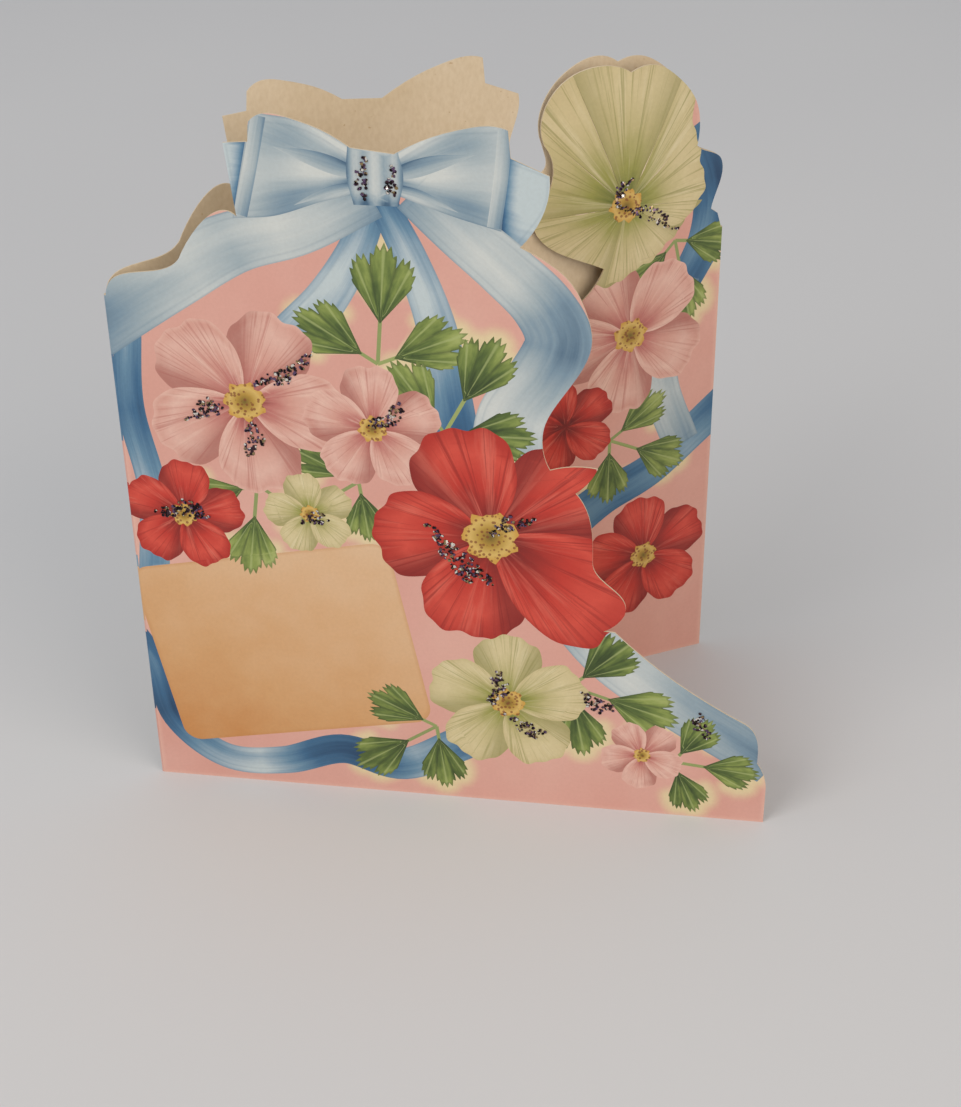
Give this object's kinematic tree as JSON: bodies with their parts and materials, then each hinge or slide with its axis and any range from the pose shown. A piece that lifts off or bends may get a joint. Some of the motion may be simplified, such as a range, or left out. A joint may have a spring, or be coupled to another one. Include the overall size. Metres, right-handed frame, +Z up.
{
  "type": "greeting card",
  "caption": "Die-cut greeting card folded from one printed sheet, standing half open, with a bow top, a folded flap, a bare label and glitter.",
  "frame": {"origin": "middle of the standing card's footprint box, on the surface that it stands on", "axes": "+X along the cover's bottom edge from the spine to its free edge, -Y the way the cover faces, +Z up"},
  "size_m": [0.1208, 0.0606, 0.1396],
  "materials": {
    "card_stock": "uncoated cream card stock, matt, as solid as paper",
    "pink_ink": "matt printed pink",
    "ribbon_light_ink": "matt printed pale blue",
    "ribbon_shade_ink": "matt printed mid blue",
    "pink_blossom_ink": "matt printed rose pink",
    "red_blossom_ink": "matt printed red",
    "pale_blossom_ink": "matt printed pale yellow-green",
    "blossom_heart_ink": "matt printed yellow",
    "leaf_ink": "matt printed leaf green",
    "label_ink": "matt printed cream orange",
    "glitter_flakes": "dark glossy flakes"
  },
  "bodies": {
    "root": {"card_sheet": "card_stock", "pink_ground": "pink_ink", "ribbon_light": "ribbon_light_ink", "ribbon_shade": "ribbon_shade_ink", "pink_blossoms": "pink_blossom_ink", "red_blossoms": "red_blossom_ink", "pale_blossoms": "pale_blossom_ink", "blossom_hearts": "blossom_heart_ink", "leaf_sprays": "leaf_ink", "label_field": "label_ink", "glitter": "glitter_flakes"}
  },
  "joints": []
}
